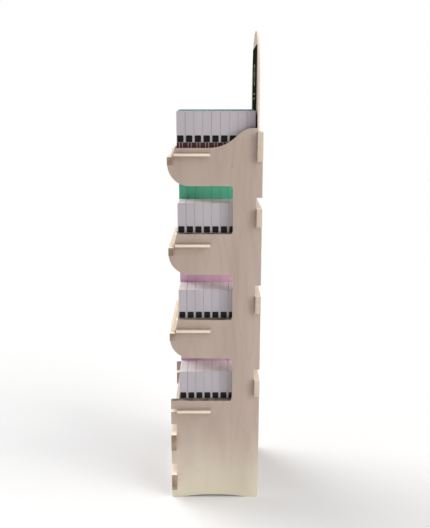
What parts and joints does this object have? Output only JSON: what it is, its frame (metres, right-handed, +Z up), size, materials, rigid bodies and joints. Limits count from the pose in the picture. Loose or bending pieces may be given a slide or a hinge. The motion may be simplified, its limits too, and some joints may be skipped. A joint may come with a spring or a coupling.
{
  "type": "counter display stand",
  "caption": "Tiered plywood counter display stand with slide-in shelves, hook-in slats, an arched header board and columns of slim upright cartons that lift out.",
  "frame": {"origin": "on the ground, under the centre of the stand's outline", "axes": "+Z up; -Y is the front that faces the customer; +X is to the right seen from the front"},
  "size_m": [0.187, 0.144, 0.758],
  "materials": {
    "birch": "raw sanded birch plywood with laser-cut edges",
    "birch_thin": "raw sanded thin birch plywood",
    "header_print": "satin black printed card",
    "carton_white": "coated white board with a black patch and a maroon foot",
    "carton_teal": "coated teal board",
    "carton_green": "coated green board",
    "carton_pink": "coated pink board"
  },
  "bodies": {
    "stand": {"side_panel_left": "birch", "side_panel_right": "birch", "shelf_1": "birch_thin", "shelf_2": "birch_thin", "shelf_3": "birch_thin", "shelf_4": "birch_thin", "front_lip_1": "birch_thin", "front_lip_2": "birch_thin", "front_lip_3": "birch_thin", "front_lip_4": "birch_thin", "front_rail_2": "birch", "front_rail_3": "birch", "front_rail_4": "birch", "base_slat_lower": "birch", "base_slat_upper": "birch", "back_slat_1": "birch", "back_slat_2": "birch", "back_slat_3": "birch", "back_slat_4": "birch", "header_board": "birch_thin", "header_poster": "header_print", "pack_row_1_left": "carton_pink", "pack_row_1_middle": "carton_pink", "pack_row_1_right": "carton_white", "pack_row_2_left": "carton_pink", "pack_row_2_middle": "carton_pink", "pack_row_2_right": "carton_white", "pack_row_3_left": "carton_green", "pack_row_3_middle": "carton_green", "pack_row_3_right": "carton_white", "pack_row_4_left": "carton_teal", "pack_row_4_middle": "carton_teal", "pack_row_4_right": "carton_white"},
    "front_pack_1_left": {"front_pack_1_left": "carton_pink"},
    "front_pack_1_middle": {"front_pack_1_middle": "carton_pink"},
    "front_pack_1_right": {"front_pack_1_right": "carton_white"},
    "front_pack_2_left": {"front_pack_2_left": "carton_pink"},
    "front_pack_2_middle": {"front_pack_2_middle": "carton_pink"},
    "front_pack_2_right": {"front_pack_2_right": "carton_white"},
    "front_pack_3_left": {"front_pack_3_left": "carton_green"},
    "front_pack_3_middle": {"front_pack_3_middle": "carton_green"},
    "front_pack_3_right": {"front_pack_3_right": "carton_white"},
    "front_pack_4_left": {"front_pack_4_left": "carton_teal"},
    "front_pack_4_middle": {"front_pack_4_middle": "carton_teal"},
    "front_pack_4_right": {"front_pack_4_right": "carton_white"}
  },
  "joints": [
    {"name": "lift_1_left", "type": "slide", "parent": "stand", "child": "front_pack_1_left", "axis": [0, 0, 1], "range_m": [0, 0.04]},
    {"name": "lift_1_middle", "type": "slide", "parent": "stand", "child": "front_pack_1_middle", "axis": [0, 0, 1], "range_m": [0, 0.04]},
    {"name": "lift_1_right", "type": "slide", "parent": "stand", "child": "front_pack_1_right", "axis": [0, 0, 1], "range_m": [0, 0.065]},
    {"name": "lift_2_left", "type": "slide", "parent": "stand", "child": "front_pack_2_left", "axis": [0, 0, 1], "range_m": [0, 0.04]},
    {"name": "lift_2_middle", "type": "slide", "parent": "stand", "child": "front_pack_2_middle", "axis": [0, 0, 1], "range_m": [0, 0.04]},
    {"name": "lift_2_right", "type": "slide", "parent": "stand", "child": "front_pack_2_right", "axis": [0, 0, 1], "range_m": [0, 0.065]},
    {"name": "lift_3_left", "type": "slide", "parent": "stand", "child": "front_pack_3_left", "axis": [0, 0, 1], "range_m": [0, 0.04]},
    {"name": "lift_3_middle", "type": "slide", "parent": "stand", "child": "front_pack_3_middle", "axis": [0, 0, 1], "range_m": [0, 0.04]},
    {"name": "lift_3_right", "type": "slide", "parent": "stand", "child": "front_pack_3_right", "axis": [0, 0, 1], "range_m": [0, 0.065]},
    {"name": "lift_4_left", "type": "slide", "parent": "stand", "child": "front_pack_4_left", "axis": [0, 0, 1], "range_m": [0, 0.08]},
    {"name": "lift_4_middle", "type": "slide", "parent": "stand", "child": "front_pack_4_middle", "axis": [0, 0, 1], "range_m": [0, 0.08]},
    {"name": "lift_4_right", "type": "slide", "parent": "stand", "child": "front_pack_4_right", "axis": [0, 0, 1], "range_m": [0, 0.08]}
  ]
}
